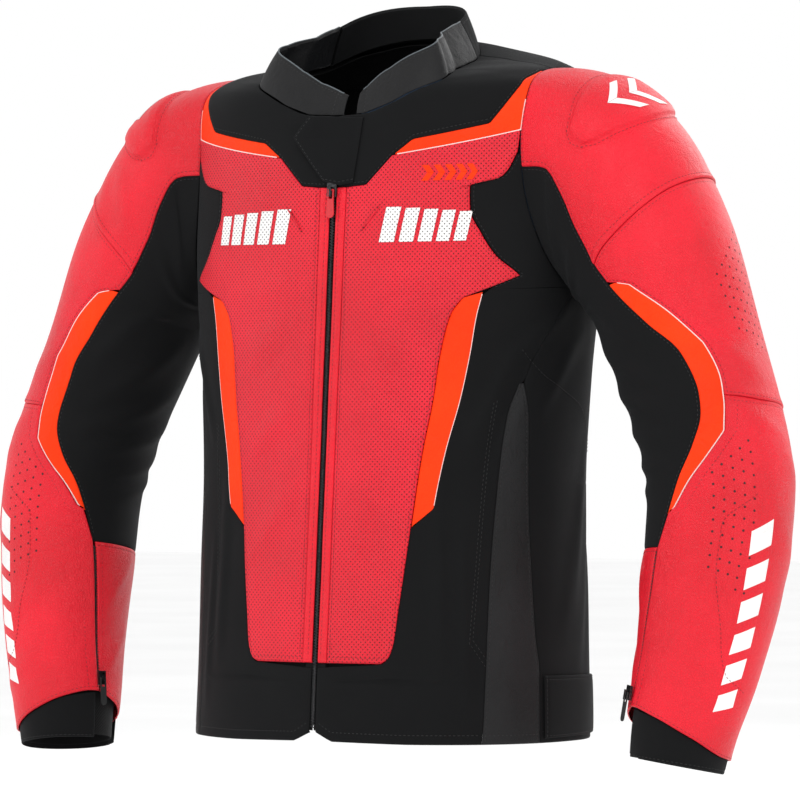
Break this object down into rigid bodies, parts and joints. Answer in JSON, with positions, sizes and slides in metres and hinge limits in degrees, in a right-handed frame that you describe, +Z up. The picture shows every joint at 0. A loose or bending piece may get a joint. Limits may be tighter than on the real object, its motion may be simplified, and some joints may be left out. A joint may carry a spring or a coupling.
{
  "type": "leather riding jacket",
  "caption": "Padded leather motorcycle jacket with a stand collar, zip front, stretch side and arm panels, shoulder guards and zipped cuffs.",
  "frame": {"origin": "middle of the gap in the hanger loop, inside the back of the neck", "axes": "+Z up when the jacket hangs, +X towards the wearer's left arm, -Y towards the zip front"},
  "size_m": [0.8309, 0.2716, 0.7034],
  "materials": {
    "perforated_leather": "satin, perforated",
    "red_leather": "satin",
    "orange_leather": "smooth satin",
    "grey_leather": "soft matte",
    "black_stretch": "matte weave",
    "lining": "mesh",
    "armour_foam": "matte foam",
    "pull_rubber": "matte",
    "zip_metal": "satin black"
  },
  "bodies": {
    "torso": {"front_panel_left": "perforated_leather", "front_panel_right": "perforated_leather", "placket_left": "red_leather", "placket_right": "red_leather", "chest_strips": "orange_leather", "side_strips": "orange_leather", "back_strips": "orange_leather", "yoke_front_left": "black_stretch", "yoke_front_right": "black_stretch", "yoke_back": "black_stretch", "back_panel": "perforated_leather", "back_lower": "black_stretch", "front_lower_left": "black_stretch", "front_lower_right": "black_stretch", "chest_sides": "black_stretch", "side_insert_left": "grey_leather", "side_insert_right": "grey_leather", "side_back_left": "black_stretch", "side_back_right": "black_stretch", "collar_back": "black_stretch", "collar_front_left": "grey_leather", "collar_front_right": "grey_leather", "torso_lining": "lining", "back_pad": "armour_foam", "hanger_loop": "lining", "main_zip_tapes": "zip_metal", "connection_zip": "zip_metal"},
    "sleeve_left": {"shoulder_panel_left": "red_leather", "shoulder_guard_left": "red_leather", "shoulder_armour_left": "armour_foam", "upper_arm_panel_left": "red_leather", "forearm_panel_left": "red_leather", "inner_forearm_panel_left": "red_leather", "arm_stretch_left": "black_stretch", "elbow_strip_left": "orange_leather", "cuff_band_left": "black_stretch", "cuff_zip_tape_left": "lining", "elbow_armour_left": "armour_foam", "sleeve_lining_left": "lining"},
    "sleeve_right": {"shoulder_panel_right": "red_leather", "shoulder_guard_right": "red_leather", "shoulder_armour_right": "armour_foam", "upper_arm_panel_right": "red_leather", "forearm_panel_right": "red_leather", "inner_forearm_panel_right": "red_leather", "arm_stretch_right": "black_stretch", "elbow_strip_right": "orange_leather", "cuff_band_right": "black_stretch", "cuff_zip_tape_right": "lining", "elbow_armour_right": "armour_foam", "sleeve_lining_right": "lining"},
    "zip_slider": {"main_zip_slider": "zip_metal"},
    "zip_pull": {"main_zip_pull": "pull_rubber"},
    "flap": {"neck_flap": "black_stretch"},
    "tab_left": {"waist_tab_left": "black_stretch"},
    "tab_right": {"waist_tab_right": "black_stretch"},
    "cuff_slider_left": {"cuff_zip_slider_left": "zip_metal"},
    "cuff_pull_left": {"cuff_zip_pull_left": "pull_rubber"},
    "cuff_slider_right": {"cuff_zip_slider_right": "zip_metal"},
    "cuff_pull_right": {"cuff_zip_pull_right": "pull_rubber"}
  },
  "joints": [
    {"name": "sleeve_left_lift", "type": "hinge", "parent": "torso", "child": "sleeve_left", "pos_m": [0.16902, -0.07781, -0.01498], "axis": [0, -1, 0], "range_deg": [0, 35]},
    {"name": "sleeve_right_lift", "type": "hinge", "parent": "torso", "child": "sleeve_right", "pos_m": [-0.16902, -0.07781, -0.01498], "axis": [0, 1, 0], "range_deg": [0, 35]},
    {"name": "main_zip_slide", "type": "slide", "parent": "torso", "child": "zip_slider", "axis": [0, -0.0752, -0.9972], "range_m": [0, 0.455]},
    {"name": "main_pull_swing", "type": "hinge", "parent": "zip_slider", "child": "zip_pull", "pos_m": [0, -0.18848, -0.12591], "axis": [-1, 0, 0], "range_deg": [0, 110]},
    {"name": "neck_flap_open", "type": "hinge", "parent": "torso", "child": "flap", "pos_m": [0.03017, -0.18854, -0.05958], "axis": [0.1427, 0.0706, 0.9872], "range_deg": [0, 110]},
    {"name": "waist_tab_left_peel", "type": "hinge", "parent": "torso", "child": "tab_left", "pos_m": [0.18644, -0.12152, -0.62366], "axis": [0.0165, -0.0241, -0.9996], "range_deg": [0, 80]},
    {"name": "waist_tab_right_peel", "type": "hinge", "parent": "torso", "child": "tab_right", "pos_m": [-0.18644, -0.12152, -0.62366], "axis": [0.0165, 0.0241, 0.9996], "range_deg": [0, 80]},
    {"name": "cuff_zip_left_slide", "type": "slide", "parent": "sleeve_left", "child": "cuff_slider_left", "axis": [0.1562, 0.054, 0.9862], "range_m": [0, 0.094]},
    {"name": "cuff_pull_left_swing", "type": "hinge", "parent": "cuff_slider_left", "child": "cuff_pull_left", "pos_m": [0.29678, -0.17045, -0.57727], "axis": [-0.7875, 0.6096, 0.0913], "range_deg": [0, 140]},
    {"name": "cuff_zip_right_slide", "type": "slide", "parent": "sleeve_right", "child": "cuff_slider_right", "axis": [-0.0783, 0.0583, 0.9952], "range_m": [0, 0.092]},
    {"name": "cuff_pull_right_swing", "type": "hinge", "parent": "cuff_slider_right", "child": "cuff_pull_right", "pos_m": [-0.28002, -0.14529, -0.57944], "axis": [-0.3954, -0.9182, 0.0227], "range_deg": [0, 140]}
  ]
}
